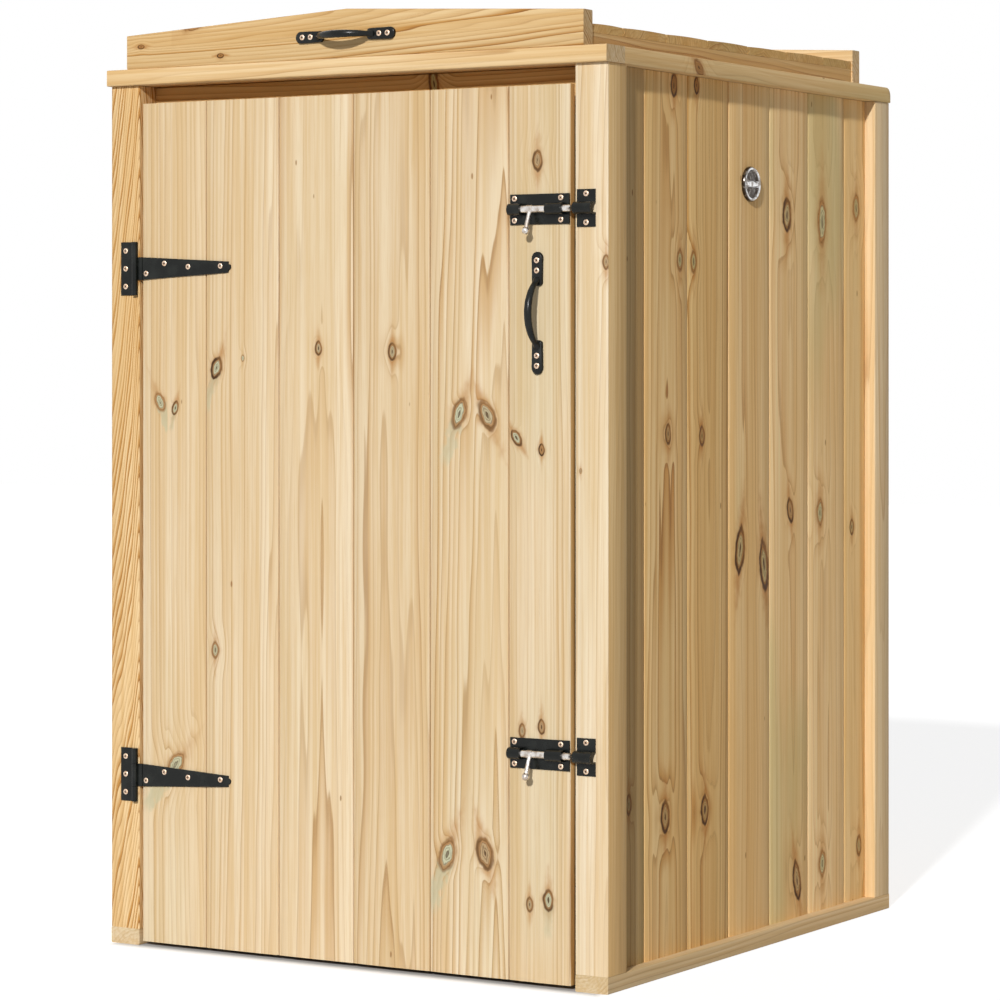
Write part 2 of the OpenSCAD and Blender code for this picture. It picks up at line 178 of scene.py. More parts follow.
def treated_timber():
    """Treated softwood. Rings run round the heart of the log that each stick was sawn from, and
    part round the knots. Each stick's log, tone and knots come in with its mesh."""
    made, start = new_material("treated_timber")

    def read(name):
        return start.node("Attribute", {"attribute_name": name}, None, "Vector")

    grain = read("grain")
    across, inward, along = grain.xyz()
    heart_across, heart_inward, lean = read("log").xyz()
    light, warmth, spacing = read("tone").xyz()
    seed, contrast, green = read("lot").xyz()
    knot_across, knot_along, knot_size = read("knot").xyz()
    reach, dark, pale = read("knot_kind").xyz()

    far_apart = (3.1, 1.7, 5.3)
    lot = start.node("CombineXYZ", None, {0: seed, 1: seed, 2: seed})
    spot = start.node("VectorMath", {"operation": "MULTIPLY_ADD"}, {0: lot, 1: far_apart, 2: grain})
    drift, blotch, mottle = spot.noise((7, 7, 1.6), 2.0, "Color").xyz()
    uneven = spot.noise((48, 48, 0.5), 1.0)
    band = spot.noise((34, 34, 0.6), 1.0)
    streak = spot.noise((190, 190, 2.4), 2.0)
    fibre = spot.noise((1100, 1100, 18), 2.0)
    wobble = spot.noise((120, 120, 70), 2.0) - 0.5

    # How far out of its knot a spot is, where the knot's edge is 1: an eye shape, pointed at its ends
    pointed = 0.4
    side = abs(knot_across) + pointed
    out = (knot_along * knot_along + side * side).root() - pointed
    ragged = out + wobble * 0.5
    near = (1 - out / reach).above(0)
    parting = near * near

    # Rings
    round_knot = knot_across * knot_across + knot_along * knot_along + 0.45
    shift = knot_across * knot_size * parting / round_knot
    from_heart = across - shift - heart_across
    behind = inward - heart_inward - lean * along
    radius = (from_heart * from_heart + behind * behind).root()
    swell = knot_size * parting * 2.6
    ring = (radius + (drift - 0.5) * 0.022 + swell) / spacing + uneven * 3.0
    whole = ring.maths("FLOOR", ring)
    part = ring - whole
    hardness = start.node("TexWhiteNoise", {"noise_dimensions": "1D"}, {"W": whole + seed * 9.7})
    firm = hardness * hardness * 1.2 + 0.15
    late = part.step(0.2, 0.9) * part.step(1.0, 0.94) * firm
    line = part.step(0.78, 0.92) * part.step(1.0, 0.95) * firm

    cream = colour(0.90, 0.77, 0.57)
    straw = colour(0.72, 0.50, 0.24)
    russet = colour(0.56, 0.31, 0.10)
    bark = colour(0.33, 0.16, 0.05)
    honey = colour(0.98, 0.78, 0.46)
    sage = colour(0.50, 0.52, 0.31)
    body = start.node("RGB")
    body.socket.default_value = cream
    body = body.over(straw, band.step(0.36, 0.62) * 0.42)
    body = body.over(straw, streak.step(0.44, 0.62) * 0.38)
    body = body.over(cream, streak.step(0.44, 0.34) * 0.5)
    body = body.over(russet, late * contrast)
    body = body.over(bark, line * contrast * 0.8)
    body = body.over(straw, fibre.step(0.5, 0.72) * 0.35)
    body = body.over(sage, blotch.step(0.48, 0.66) * green)
    body = body.over(straw, mottle.step(0.50, 0.70) * 0.3)
    speck = start.node("TexVoronoi", {"feature": "F1"},
                       {"Vector": spot.stretched((70, 70, 24)), "Scale": 1.0})
    chosen = Wire(start.tree, speck.socket.node.outputs["Color"]).xyz()[0].step(0.955, 0.96)
    body = body.over(bark, speck.step(0.13, 0.07) * chosen * 0.8)

    # Knots: a halo of resin, a dark rim, a core that takes up the treatment, and a small dark heart
    amber = colour(0.50, 0.23, 0.06)
    umber = colour(0.075, 0.036, 0.014)
    bisque = colour(0.46, 0.25, 0.10)
    lichen = colour(0.60, 0.60, 0.42)
    flame = (abs(knot_across) + abs(knot_along) * 0.38 + wobble * 1.4).step(2.7, 0.5)
    halo = flame * flame * dark
    lopsided = (knot_across + knot_along * 0.5 + wobble * 1.5).step(1.6, -0.3) * 0.8 + 0.2
    rim = ragged.step(0.7, 0.94) * ragged.step(1.2, 1.0) * dark
    shadow = ragged.step(0.6, 0.9) * ragged.step(1.3, 1.05) * lopsided * (dark - 0.6).above(0) * 2.5
    core = ragged.step(1.0, 0.86)
    heartwood = ragged.step(0.7, 0.5)
    chalky = pale.below(1.0)
    drip = (abs(knot_across) + wobble * 2.4).step(1.25, 0.4) * knot_along.step(0.2, -0.6)
    drip = drip * (knot_along + mottle * 4.0).step(-3.2, -1.8) * (pale - 1).above(0)
    rings = (ragged * 24.0 + wobble * 9.0).wave().step(0.1, 1.0)
    middle = ragged.step(0.22, 0.1) * dark
    body = body.over(amber, halo * 0.75)
    body = body.over(lichen, drip * 0.75)
    body = body.over(bisque, core * 0.85)
    body = body.over(lichen, heartwood * chalky)
    body = body.over(umber, core * rings * 0.5)
    body = body.over(bark, rim * 0.8)
    body = body.over(umber, shadow)
    body = body.over(umber, middle)
    body = body.over(honey, warmth, "MULTIPLY")
    body = start.node("VectorMath", {"operation": "SCALE"}, {0: body, 3: light})

    height = late * 0.5 + fibre * 0.7 - rim * 0.8
    bump = start.node("Bump", None, {"Strength": 0.5, "Distance": 0.4 * mm, "Height": height})
    surface(start, Base_Color=body, Roughness=0.72 - late * 0.15, Normal=bump, Specular_IOR_Level=0.2)
    return made


timber_look = treated_timber()
chance = random.Random(23)


def stick(light=1.0, warmth=0.5, spacing=5.0, contrast=0.5, green=0.1, heart=None, lean=None,
          edge=0.0):
    """One length of timber: its tone, the width of its rings, and where in the log it was sawn.
    edge is how much warmer its two narrow faces are."""
    heart = heart or (chance.uniform(-70, 110), chance.uniform(25, 80))
    lean = chance.uniform(-0.02, 0.02) if lean is None else lean
    return {
        "log": (heart[0] * mm, heart[1] * mm, lean),
        "tone": (light, warmth, spacing * mm),
        "lot": (chance.uniform(0, 12), contrast, green),
        "edge": edge,
    }


def eased(corners, ease):
    """An outline with each corner cut by two small flats."""
    points = []
    for i, corner in enumerate(corners):
        here = Vector(corner)
        before = (Vector(corners[i - 1]) - here).normalized()
        after = (Vector(corners[(i + 1) % len(corners)]) - here).normalized()
        points += [here + before * ease, here + (before + after) * ease * 0.29, here + after * ease]
    return [tuple(point) for point in points]


def knot_rows(knots, apart):
    """Knots in rows, each a list of those that lie side by side."""
    rows = []
    for knot in sorted(knots, key=lambda k: k["along"]):
        if rows and knot["along"] - rows[-1][-1]["along"] < apart:
            rows[-1].append(knot)
        else:
            rows.append([knot])
    return rows


def knot(across, along, size=6, lean=0, dark=0.8, pale=0.5, long=1.4):
    """A knot, in millimetres from a stick's lower corner; dark and pale say what colour it is."""
    return {"across": across * mm, "along": along * mm, "size": size * mm,
            "lean": math.radians(lean), "long": long, "dark": dark, "pale": pale}


CLEAR = ((0, 50, 0.001), (5, 0, 0))


def knot_values(owner, across, along):
    """A corner's place as its knot measures it, and the knot's kind."""
    if owner is None:
        return CLEAR
    aside = across - owner["across"]
    ahead = along - owner["along"]
    turn_cos, turn_sin = math.cos(owner["lean"]), math.sin(owner["lean"])
    size = owner["size"]
    place = ((aside * turn_cos + ahead * turn_sin) / size,
             (ahead * turn_cos - aside * turn_sin) / (size * owner["long"]), size)
    return place, (owner["reach"], owner["dark"], owner["pale"])


def add_timber(mesh, ends, outline, place, wood, knots=()):
    """Adds one stick to a mesh. outline(t) is its section at the distance t along it, as points
    across and inward from its face; place puts a point across, inward and along into the frame."""
    names = ("grain", "log", "tone", "lot", "knot", "knot_kind")
    kinds = mesh.loops.layers.float_vector
    layers = {name: kinds.get(name) or kinds.new(name) for name in names}
    side_by_side = 30 * mm
    rows = knot_rows(knots, side_by_side)
    cuts = [(a[-1]["along"] + b[0]["along"]) / 2 for a, b in zip(rows, rows[1:])]
    for i, row in enumerate(rows):
        low = cuts[i - 1] if i > 0 else -math.inf
        high = cuts[i] if i < len(cuts) else math.inf
        row.sort(key=lambda k: k["across"])
        for j, one in enumerate(row):
            room = [(one["along"] - low) / one["long"], (high - one["along"]) / one["long"]]
            room += [abs(other["across"] - one["across"]) / 2 for other in row if other is not one]
            one["reach"] = min([5.5] + [gap / one["size"] for gap in room])
    splits = [(a["across"] + b["across"]) / 2 for row in rows for a, b in zip(row, row[1:])]
    stops = sorted(set(ends) | {cut for cut in cuts if min(ends) < cut < max(ends)})

    def section(t):
        points = []
        shape = outline(t)
        for i, (u, w) in enumerate(shape):
            points.append((u, w))
            next_u, next_w = shape[(i + 1) % len(shape)]
            inside = [s for s in splits if min(u, next_u) < s < max(u, next_u)]
            for s in sorted(inside, reverse=next_u < u):
                points.append((s, w + (next_w - w) * (s - u) / (next_u - u)))
        return points

    def owner_of(corners):
        faces_out = max(c[0] for c in corners) - min(c[0] for c in corners) > 0.2 * mm
        if not rows or not faces_out:
            return None
        u = sum(c[0] for c in corners) / len(corners)
        t = sum(c[2] for c in corners) / len(corners)
        row = rows[sum(1 for cut in cuts if t > cut)]
        near = sum(1 for a, b in zip(row, row[1:]) if u > (a["across"] + b["across"]) / 2)
        return row[near]

    def face(verts, corners, end=False):
        made = mesh.faces.new(verts)
        made.smooth = not end
        owner = None if end else owner_of(corners)
        light, warmth, spacing = wood["tone"]
        edge = abs(corners[0][0] - corners[2][0]) < 0.2 * mm
        tone = (light, warmth + wood["edge"] * edge, spacing)
        if end:
            tone = (light * 0.86, max(warmth * 0.8, wood["edge"]), spacing)
        for loop, corner in zip(made.loops, corners):
            loop[layers["grain"]] = corner
            loop[layers["log"]] = wood["log"]
            loop[layers["tone"]] = tone
            loop[layers["lot"]] = wood["lot"]
            loop[layers["knot"]], loop[layers["knot_kind"]] = knot_values(owner, corner[0], corner[2])
        return made

    sections = [[(u, w, t) for u, w in section(t)] for t in stops]
    verts = [[mesh.verts.new(place(*spot)) for spot in row] for row in sections]
    faces = [face(verts[0], sections[0], True), face(verts[-1], sections[-1], True)]
    for i in range(len(stops) - 1):
        for j in range(len(sections[0])):
            k = (j + 1) % len(sections[0])
            at = [(i, j), (i, k), (i + 1, k), (i + 1, j)]
            faces.append(face([verts[r][c] for r, c in at], [sections[r][c] for r, c in at]))
    bmesh.ops.recalc_face_normals(mesh, faces=faces)


def add_squared(mesh, low, high, facing, along, wood, knots=(), ease=1.6 * mm):
    """Adds a stick with a rectangular section. facing is the axis its face looks along, as +x."""
    ahead = "xyz".index(along)
    deep = "xyz".index(facing[1])
    wide = 3 - ahead - deep
    size = [high[i] - low[i] for i in range(3)]
    corners = eased([(0, 0), (size[wide], 0), (size[wide], size[deep]), (0, size[deep])], ease)

    def place(u, w, t):
        spot = [0, 0, 0]
        spot[wide] = low[wide] + u
        spot[deep] = high[deep] - w if facing[0] == "+" else low[deep] + w
        spot[ahead] = low[ahead] + t
        return spot

    add_timber(mesh, (0, size[ahead]), lambda t: corners, place, wood, knots)


def new_piece(name, mesh, body, look, nodes=()):
    """Makes a piece of a mesh, gives it its finish, and sets it on its body for its CAD nodes."""
    data = bpy.data.meshes.new(name)
    mesh.to_mesh(data)
    mesh.free()
    data.materials.append(look)
    data.set_sharp_from_angle(angle=math.radians(50))
    piece = bpy.data.objects.new(name, data)
    bpy.context.scene.collection.objects.link(piece)
    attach(piece, body)
    if nodes:
        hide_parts(*nodes)
    return piece


def squared_piece(name, body, facing, along, wood, knots=(), ease=1.6 * mm):
    """One squared stick that stands for the CAD node of its name."""
    mesh = bmesh.new()
    add_squared(mesh, *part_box(name), facing, along, wood, knots, ease)
    return new_piece(name + "_timber", mesh, body, timber_look, [name])


squared_piece("left_front_post", "carcass", "-y", "z",
              stick(1.0, 0.7, 2.7, 1.8, 0.0, (-150, 300), -0.12))
squared_piece("right_front_post", "carcass", "-y", "z",
              stick(1.0, 0.1, 5.0, 0.30, 0.05, (60, 30), 0.01, 0.7),
              [knot(8, 640, 2, 0, 0.6, 0.3), knot(45, 905, 5, 0, 0.8, 0.3)], 0.8 * mm)
squared_piece("left_rear_post", "carcass", "-x", "z", stick(0.95, 0.5))
squared_piece("right_rear_post", "carcass", "+x", "z", stick(1.0, 0.4, 5.0, 0.35))

# ---- Bottom rails ----
# Flat rails that the store stands on. The side rails run the whole depth under the posts, and the
# rear rail is set between them, screwed through from the sides.
for name in ("left_bottom_rail", "right_bottom_rail"):
    facing = "-x" if name.startswith("left") else "+x"
    squared_piece(name, "carcass", facing, "y", stick(1.0, 0.4, 4.0, 0.3))
squared_piece("rear_bottom_rail", "carcass", "+y", "x", stick(0.95, 0.5))

# ---- Wall rails and header ----
# Nailing rails between the posts, behind the wall boards, a heavier rail along the top of the
# rear, and a header over the doorway. All are screwed to the posts.
for name in ("left_wall_rails", "right_wall_rails", "rear_wall_rails"):
    low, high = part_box(name)
    rail_height = 48 * mm
    middle = (low.z + high.z - rail_height) / 2
    starts = [low.z, high.z - rail_height] if name.startswith("rear") else [
        low.z, middle, high.z - rail_height]
    mesh = bmesh.new()
    for start in starts:
        foot = Vector((low.x, low.y, start))
        head = Vector((high.x, high.y, start + rail_height))
        facing, along = ("-y", "x") if name.startswith("rear") else (
            "+x" if name.startswith("left") else "-x", "y")
        add_squared(mesh, foot, head, facing, along, stick(0.92, 0.5))
    new_piece(name + "_timber", mesh, "carcass", timber_look, [name])
squared_piece("rear_top_rail", "carcass", "+y", "x", stick(0.95, 0.5))
squared_piece("front_header", "carcass", "-y", "x", stick(0.97, 1.0, 5.0, 0.7, 0.1),
              [knot(47, 455, 7, 80, 0.9, 1.0, 2.2)])

# ---- Walls ----
# Upright tongued and grooved boards, nailed to the wall rails. The outer arrises are eased, so
# that each joint shows as a fine dark line.
TONGUE = 4.2 * mm
JOINT = 1.4 * mm
BOARD_EASE = 1.4 * mm
CUP = 0.9 * mm


def add_board(mesh, left, right, thick, ends, place, wood, knots=(), tongue=True, groove=True,
              proud=0.0, cup=CUP):
    """Adds a board from left to right, with a groove on its left edge and a tongue on its right."""
    low = left + JOINT / 2 * groove
    high = right - JOINT / 2 * tongue
    top, bottom = proud + cup, thick
    upper, lower = thick * 0.4, thick * 0.68
    small = BOARD_EASE * 0.3
    face_low, face_high = low + BOARD_EASE, high - BOARD_EASE
    shape = []
    for share in (0, 0.2, 0.4, 0.6, 0.8, 1):
        shape.append((face_low + (face_high - face_low) * share, proud + cup * (2 * share - 1) ** 2))
    shape += [(high - small, top + small), (high, top + BOARD_EASE)]
    if tongue:
        shape += [(high, upper), (high + TONGUE, upper), (high + TONGUE, lower), (high, lower)]
    shape += [(high, bottom), (low, bottom)]
    if groove:
        shape += [(low, lower), (low + TONGUE, lower), (low + TONGUE, upper), (low, upper)]
    shape += [(low, top + BOARD_EASE), (low + small, top + small)]
    add_timber(mesh, ends, lambda t: shape, place, wood, knots)


def add_boards(mesh, edges, thick, ends, place, woods, knots):
    """Adds boards side by side between the edges given."""
    for i, (left, right) in enumerate(zip(edges, edges[1:])):
        own = [dict(one, across=left + one["across"]) for one in knots.get(i + 1, ())]
        wood = dict(woods[i])
        heart_across, heart_inward, lean = wood["log"]
        wood["log"] = (heart_across + left, heart_inward, lean)
        add_board(mesh, left, right, thick, ends, place, wood, own,
                  tongue=i < len(edges) - 2, groove=i > 0, proud=chance.uniform(0.0, 0.4) * mm)


def edges_of(widths, total):
    """Board edges from the widths of all but the last board, which takes what is left."""
    edges = [0.0]
    for width in widths:
        edges.append(edges[-1] + width * mm)
    return edges + [total]


side_widths = (75, 118, 117.5, 121.5, 119, 117)
right_knots = {
    1: [knot(33, 209, 7)],
    2: [knot(96, 913, 8, 0, 0.7, 0.9), knot(63, 684, 7, 0, 0.9, 0.3), knot(55, 183, 11, 0, 1.0, 0.4),
        knot(79, 1143, 8, 0, 1.0, 0.0)],
    3: [knot(17, 912, 8, 0, 0.7, 0.9), knot(40, 680, 7, 0, 0.9, 0.3), knot(48, 180, 10, 0, 1.0, 0.4),
        knot(25, 1147, 6, 0, 1.0, 0.0)],
    4: [knot(32, 523, 12, -8, 1.0, 0.7, 1.9), knot(104, 499, 12, 8, 1.0, 0.7, 2.1)],
    5: [knot(52, 984, 12, 0, 1.0, 0.6), knot(62, 572, 9, 10, 1.0, 0.2), knot(83, 52, 11, 12, 1.0, 0.4, 1.8)],
    6: [knot(44, 978, 14, 0, 0.6, 1.0, 1.8), knot(37, 565, 11, 0, 0.6, 0.9), knot(44, 66, 11, 0, 0.6, 1.0)],
    7: [knot(38, 1002, 11, 0, 0.6, 0.8), knot(24, 540, 6, 0, 0.9, 0.6), knot(48, 78, 8, 0, 0.8, 0.6)],
}
# The first board's low light, 0.70, is painted shade: the front post's shadow falls on it.
right_woods = [stick(0.70, 0.9, 7, 0.6, 1.0, (-60, 60)), stick(1.12, 0.85, 9, 0.8, 0.1, (60, 28), 0.02),
               stick(1.05, 0.95, 9, 0.8, 0.1, (62, 26), -0.02), stick(1.13, 0.8, 9, 0.5, 0.45, (140, 50)),
               stick(1.18, 0.72, 10, 0.45, 0.5, (60, 40)), stick(1.19, 0.7, 10, 0.45, 0.5, (50, 40)),
               stick(1.14, 0.85, 8, 0.5, 0.2)]
low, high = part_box("right_wall")
mesh = bmesh.new()
add_boards(mesh, edges_of(side_widths, high.y - low.y), high.x - low.x, (0, high.z - low.z),
           lambda u, w, t: (high.x - w, low.y + u, low.z + t), right_woods, right_knots)
new_piece("right_wall_boards", mesh, "carcass", timber_look, ["right_wall"])


def some_knots(width, height, count):
    """Knots at about even heights, for boards that are out of sight from the front."""
    first = chance.uniform(0.05, 0.3)
    return [knot(chance.uniform(0.2, 0.8) * width / mm, (first + i * 0.8 / count) * height / mm,
                 chance.uniform(4, 8), chance.uniform(-10, 10), chance.uniform(0.6, 1),
                 chance.uniform(0, 1))
            for i in range(count)]


rear_widths = (115, 118, 118, 118, 118)
for name, widths, warmest in (("left_wall", side_widths, (0.7, 1.0)),
                              ("rear_wall", rear_widths, (0.5, 0.9))):
    low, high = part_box(name)
    on_left = name == "left_wall"
    across = 1 if on_left else 0
    thick = high[1 - across] - low[1 - across]
    edges = edges_of(widths, high[across] - low[across])
    knots = {i + 1: some_knots(b - a, high.z - low.z, 3) for i, (a, b) in enumerate(zip(edges, edges[1:]))}
    woods = [stick(chance.uniform(0.88, 0.98), chance.uniform(*warmest), chance.uniform(4.5, 7), 0.4)
             for _ in edges[1:]]

    def place(u, w, t):
        if on_left:
            return (low.x + w, low.y + u, low.z + t)
        return (high.x - u, high.y - w, low.z + t)

    mesh = bmesh.new()
    add_boards(mesh, edges, thick, (0, high.z - low.z), place, woods, knots)
    new_piece(name + "_boards", mesh, "carcass", timber_look, [name])

# ---- Door ----
# Six tongued and grooved boards, the palest of the stack, nailed from the front to three ledges
# with a brace between each pair. The braces rise from the hinge side.
door_widths = (107, 120, 120, 120, 120)
door_knots = {
    1: [knot(30, 740, 8, 25, 0.6, 1.9), knot(56, 732, 5, -15, 0.9, 1.6), knot(56, 245, 12, -40, 0.45, 1.9)],
    2: [knot(18, 787, 8, -20, 1.0, 1.7), knot(62, 800, 3, 0, 0.3, 1.0), knot(16, 405, 6, 0, 0.7, 0.8)],
    3: [knot(65, 813, 5, 0, 0.9, 0.5)],
    4: [knot(62, 808, 6, 0, 0.9, 0.6)],
    5: [knot(46, 728, 10, -20, 0.75, 1.7, 1.5), knot(88, 726, 10.5, 25, 0.8, 0.6, 1.5),
        knot(27, 154, 12, -20, 0.7, 1.9), knot(85, 160, 11, 15, 0.85, 0.3)],
    6: [knot(44, 1053, 7, 0, 0.9, 0.3), knot(12, 697, 6, 35, 0.9, 1.0), knot(50, 682, 4, 0, 1.0, 0.0),
        knot(21, 321, 5, 0, 0.8, 0.4), knot(50, 328, 5, 0, 0.9, 0.2), knot(32, 99, 5, 0, 0.8, 0.4),
        knot(60, 107, 7, 0, 0.9, 1.5)],
}
door_woods = [stick(0.93, 0.25, 8, 0.42, 0.1, (150, 50)), stick(0.94, 0.2, 6, 0.38, 0.05, (140, 40)),
              stick(0.95, 0.2, 8, 0.42, 0.05, (60, 45), 0.015),
              stick(0.90, 0.3, 7, 0.5, 0.1, (60, 45), 0.012),
              stick(0.96, 0.12, 8, 0.6, 0.1, (95, 30), 0.03),
              stick(0.93, 0.2, 6, 0.36, 0.15, (-80, 50), edge=1.0)]
low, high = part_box("door_boards")
mesh = bmesh.new()
add_boards(mesh, edges_of(door_widths, high.x - low.x), high.y - low.y, (0, high.z - low.z),
           lambda u, w, t: (low.x + u, low.y + w, low.z + t), door_woods, door_knots)
new_piece("door_board_set", mesh, "door", timber_look, ["door_boards"])
for name in ("door_top_ledge", "door_middle_ledge", "door_bottom_ledge"):
    squared_piece(name, "door", "+y", "x", stick(0.95, 0.5))

brace_low, brace_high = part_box("door_braces")
ledge_low, ledge_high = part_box("door_middle_ledge")
brace_width = 58 * mm
mesh = bmesh.new()
for foot_z, head_z in ((brace_low.z, ledge_low.z), (ledge_high.z, brace_high.z)):
    run = brace_high.x - brace_width - brace_low.x
    rise = head_z - foot_z
    length = math.hypot(run, rise)

    def place(u, w, t):
        share = t / length
        return (brace_low.x + u + run * share, brace_high.y - w, foot_z + rise * share)

    thick = brace_high.y - brace_low.y
    corners = eased([(0, 0), (brace_width, 0), (brace_width, thick), (0, thick)], 1.6 * mm)
    add_timber(mesh, (0, length), lambda t: corners, place, stick(0.95, 0.5))
new_piece("door_brace_pair", mesh, "door", timber_look, ["door_braces"])

# ---- Lid ----
# A flat frame of four rails, a gabled fascia across each end, kerbs under the eaves, and a ridge
# bearer. Tongued and grooved boards fall each way from the ridge.
squared_piece("lid_front_rail", "lid", "-y", "x", stick(1.0, 0.6, 5, 0.5))
squared_piece("lid_rear_rail", "lid", "+y", "x", stick(0.95, 0.5))
rail_round = 11 * mm
for name in ("lid_left_rail", "lid_right_rail"):
    low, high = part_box(name)
    outer = high.x if name == "lid_right_rail" else low.x
    inward = -1 if name == "lid_right_rail" else 1
    length = high.y - low.y
    height = high.z - low.z

    def outline(t):
        past = max(0.0, t - (length - rail_round))
        top = height - rail_round + math.sqrt(max(0.0, rail_round ** 2 - past ** 2))
        width = high.x - low.x
        return eased([(0, 0), (top, 0), (top, width), (0, width)], 1.2 * mm)

    steps = 6
    turns = [length - rail_round + rail_round * math.sin(math.pi / 2 * i / steps)
             for i in range(steps + 1)]
    mesh = bmesh.new()
    add_timber(mesh, [0] + turns, outline, lambda u, w, t: (outer + inward * w, low.y + t, low.z + u),
               stick(1.0, 0.8, 4, 0.4, 0.3),
               [knot(9, 200, 8, 35, 0.7, 0)] if name == "lid_right_rail" else ())
    new_piece(name + "_timber", mesh, "lid", timber_look, [name])

fascia_knots = [knot(30, 24, 3, 0, 0.9, 0.0), knot(66, 128, 12, -28, 0.25, 0.0, 2.4),
                knot(12, 158, 3, 0, 1, 0)]
fascia_ends = {"lid_front_fascia": 46 * mm, "lid_rear_fascia": 53 * mm}
for name, end_height in fascia_ends.items():
    low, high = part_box(name)
    half = (high.x - low.x) / 2
    rise = high.z - low.z - end_height

    def outline(t):
        top = end_height + rise * (1 - abs(t - half) / half)
        thick = high.y - low.y
        return eased([(0, 0), (top, 0), (top, thick), (0, thick)], 1.6 * mm)

    is_front = name == "lid_front_fascia"
    mesh = bmesh.new()
    add_timber(mesh, (0, half, 2 * half), outline,
               lambda u, w, t: (low.x + t, low.y + w if is_front else high.y - w, low.z + u),
               stick(0.90, 0.75, 5, 1.1, 0.0, (80, 16), 0.07) if is_front else stick(0.97, 0.5, 6, 0.5),
               fascia_knots if is_front else ())
    new_piece(name + "_timber", mesh, "lid", timber_look, [name])

kerb_low, kerb_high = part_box("lid_kerbs")
roof_low, roof_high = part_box("lid_right_roof")
roof_board = 12 * mm
roof_lift = 7 * mm
eave_half = roof_high.x
ridge_rise = roof_high.z - roof_low.z - roof_board - roof_lift
fall = ridge_rise / eave_half
roof_length = roof_high.y - roof_low.y
kerb_width = 22 * mm
mesh = bmesh.new()
for side in (-1, 1):
    def outline(t):
        top = roof_low.z - kerb_low.z + roof_lift * t / roof_length
        return eased([(0, 0), (top, 0), (top + kerb_width * fall, kerb_width), (0, kerb_width)], 0.8 * mm)

    add_timber(mesh, (0, roof_length), outline,
               lambda u, w, t: (side * (kerb_high.x - w), roof_low.y + t, kerb_low.z + u),
               stick(0.88, 0.8, 4, 0.5, 0.5))
new_piece("lid_kerb_pair", mesh, "lid", timber_look, ["lid_kerbs"])

bearer_low, bearer_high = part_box("lid_ridge_bearer")
bearer_half = bearer_high.x
mesh = bmesh.new()
bearer_depth = bearer_high.z - bearer_low.z - roof_lift
shoulder = bearer_half * fall


def bearer_outline(t):
    return [(-bearer_half, bearer_depth), (-bearer_half, shoulder), (0, 0), (bearer_half, shoulder),
            (bearer_half, bearer_depth)]


add_timber(mesh, (0, roof_length), bearer_outline,
           lambda u, w, t: (u, roof_low.y + t, bearer_high.z - roof_lift + roof_lift * t / roof_length - w),
           stick(0.92, 0.5))
new_piece("lid_ridge_bearer_timber", mesh, "lid", timber_look, ["lid_ridge_bearer"])

roof_edges = edges_of((82, 117, 117, 117, 117, 117), roof_length)
for name, side in (("lid_left_roof", -1), ("lid_right_roof", 1)):
    def place(u, w, t):
        top = roof_low.z + roof_board + ridge_rise * (1 - t / eave_half) + roof_lift * u / roof_length
        return (side * t, roof_low.y + u, top - w)

    woods = [stick(chance.uniform(0.92, 1.10), 0.8, chance.uniform(4, 6), 0.6, 0.2, edge=1.5)
             for _ in roof_edges[1:]]
    mesh = bmesh.new()
    add_boards(mesh, roof_edges, roof_board, (0, eave_half), place, woods, {3: [knot(60, 200, 6)]})
    new_piece(name + "_boards", mesh, "lid", timber_look, [name])


# ---- Hinges ----
# Two pressed T hinges on the door and two back flap hinges on the lid, dipped in black japan that
# pools to a low sheen, and fixed with small cross-head screws in yellow zinc.
def black_japan():
    made, start = new_material("black_japan")
    place = start.node("TexCoord", None, None, "Object")
    pool = place.noise((55, 55, 55), 3.0)
    pit = place.noise((900, 900, 900), 2.0)
    coat = start.node("RGB")
    coat.socket.default_value = colour(0.005, 0.006, 0.005)
    coat = coat.over(colour(0.013, 0.015, 0.013), pool.step(0.4, 0.75))
    bump = start.node("Bump", None, {"Strength": 0.4, "Distance": 0.3 * mm,
                                     "Height": pool * 0.6 + pit * 0.4})
    surface(start, Base_Color=coat, Roughness=pool * 0.25 + 0.14, Normal=bump, Specular_IOR_Level=0.25)
    return made


def yellow_zinc():
    made, start = new_material("yellow_zinc")
    place = start.node("TexCoord", None, None, "Object")
    tarnish = place.noise((420, 420, 420), 2.0)
    plate = start.node("RGB")
    plate.socket.default_value = colour(0.86, 0.66, 0.50)
    plate = plate.over(colour(0.62, 0.40, 0.24), tarnish.step(0.42, 0.7))
    surface(start, Base_Color=plate, Metallic=0.6, Roughness=tarnish * 0.3 + 0.25)
    return made


def dark_recess():
    made, start = new_material("dark_recess")
    place = start.node("TexCoord", None, None, "Object")
    grime_and_shade = place.noise((700, 700, 700), 2.0)
    # Painted shade in the cross recess of each screw head, dark brown like dirt and deepened by a noise.
    dirt_and_shade = start.node("RGB")
    dirt_and_shade.socket.default_value = colour(0.10, 0.045, 0.02)
    dirt_and_shade = dirt_and_shade.over(colour(0.03, 0.016, 0.01), grime_and_shade.step(0.4, 0.65))
    surface(start, Base_Color=dirt_and_shade, Roughness=grime_and_shade * 0.2 + 0.6)
    return made


black_look = black_japan()
zinc_look = yellow_zinc()
recess_shade_look = dark_recess()


